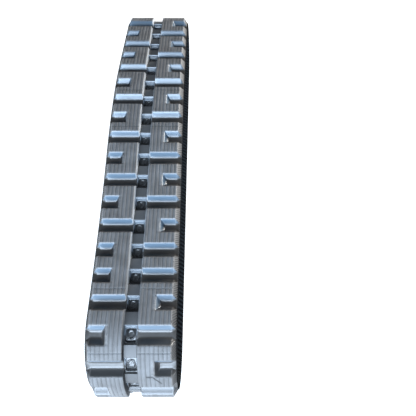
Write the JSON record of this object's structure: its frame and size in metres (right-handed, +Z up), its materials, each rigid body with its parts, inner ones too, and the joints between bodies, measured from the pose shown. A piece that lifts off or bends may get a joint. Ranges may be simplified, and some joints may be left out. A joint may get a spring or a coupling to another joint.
{
  "type": "rubber track",
  "caption": "Steel-cored rubber track for a compact loader: closed loop with C-shaped tread lugs, centre channel with sprocket windows, inner guide lugs and roller paths.",
  "frame": {"origin": "on the ground under the middle of the loop's bounding box", "axes": "+X across the belt to the right, +Y along the loop away from the tighter, higher end, +Z up"},
  "size_m": [0.32, 1.9544, 0.4565],
  "materials": {
    "tread_rubber": "moulded satin black with fine ribbing",
    "skin_rubber": "moulded satin black",
    "carcass_rubber": "moulded matt black",
    "roller_rubber": "smooth matt black",
    "core_steel": "forged, rubber-bonded",
    "cord_steel": "brass-coated stranded cord in rubber"
  },
  "bodies": {
    "near_bend": {"cores_near_bend": "core_steel", "tread_cover_near_bend": "tread_rubber", "channel_pads_near_bend": "tread_rubber", "window_skins_near_bend": "skin_rubber", "bridge_covers_near_bend": "carcass_rubber", "left_carcass_near_bend": "carcass_rubber", "left_cords_near_bend": "cord_steel", "left_roller_path_near_bend": "roller_rubber", "left_guide_lugs_near_bend": "carcass_rubber", "left_tread_lugs_near_bend": "tread_rubber", "right_carcass_near_bend": "carcass_rubber", "right_cords_near_bend": "cord_steel", "right_roller_path_near_bend": "roller_rubber", "right_guide_lugs_near_bend": "carcass_rubber", "right_tread_lugs_near_bend": "tread_rubber"},
    "top_run": {"cores_top_run": "core_steel", "tread_cover_top_run": "tread_rubber", "channel_pads_top_run": "tread_rubber", "window_skins_top_run": "skin_rubber", "bridge_covers_top_run": "carcass_rubber", "left_carcass_top_run": "carcass_rubber", "left_cords_top_run": "cord_steel", "left_roller_path_top_run": "roller_rubber", "left_guide_lugs_top_run": "carcass_rubber", "left_tread_lugs_top_run": "tread_rubber", "right_carcass_top_run": "carcass_rubber", "right_cords_top_run": "cord_steel", "right_roller_path_top_run": "roller_rubber", "right_guide_lugs_top_run": "carcass_rubber", "right_tread_lugs_top_run": "tread_rubber"},
    "far_bend": {"cores_far_bend": "core_steel", "tread_cover_far_bend": "tread_rubber", "channel_pads_far_bend": "tread_rubber", "window_skins_far_bend": "skin_rubber", "bridge_covers_far_bend": "carcass_rubber", "left_carcass_far_bend": "carcass_rubber", "left_cords_far_bend": "cord_steel", "left_roller_path_far_bend": "roller_rubber", "left_guide_lugs_far_bend": "carcass_rubber", "left_tread_lugs_far_bend": "tread_rubber", "right_carcass_far_bend": "carcass_rubber", "right_cords_far_bend": "cord_steel", "right_roller_path_far_bend": "roller_rubber", "right_guide_lugs_far_bend": "carcass_rubber", "right_tread_lugs_far_bend": "tread_rubber"},
    "bottom_run": {"cores_bottom_run": "core_steel", "tread_cover_bottom_run": "tread_rubber", "channel_pads_bottom_run": "tread_rubber", "window_skins_bottom_run": "skin_rubber", "bridge_covers_bottom_run": "carcass_rubber", "left_carcass_bottom_run": "carcass_rubber", "left_cords_bottom_run": "cord_steel", "left_roller_path_bottom_run": "roller_rubber", "left_guide_lugs_bottom_run": "carcass_rubber", "left_tread_lugs_bottom_run": "tread_rubber", "right_carcass_bottom_run": "carcass_rubber", "right_cords_bottom_run": "cord_steel", "right_roller_path_bottom_run": "roller_rubber", "right_guide_lugs_bottom_run": "carcass_rubber", "right_tread_lugs_bottom_run": "tread_rubber"}
  },
  "joints": [
    {"name": "near_lower_flex", "type": "hinge", "parent": "bottom_run", "child": "near_bend", "pos_m": [0, -0.78588, 0.043], "axis": [1, 0, 0], "range_deg": [-4, 4], "stiffness_Nm_per_rad": 3000, "springref_deg": 1.27},
    {"name": "near_upper_flex", "type": "hinge", "parent": "near_bend", "child": "top_run", "pos_m": [0, -0.6806, 0.38783], "axis": [1, 0, 0], "range_deg": [-4, 4]},
    {"name": "far_upper_flex", "type": "hinge", "parent": "top_run", "child": "far_bend", "pos_m": [0, 0.80969, 0.31555], "axis": [1, 0, 0], "range_deg": [-5.1, 5.1]}
  ],
  "couplings": [
    {"joint": "near_upper_flex", "follows": "near_lower_flex", "ratio": -0.98968},
    {"joint": "far_upper_flex", "follows": "near_lower_flex", "ratio": 1.2522}
  ]
}
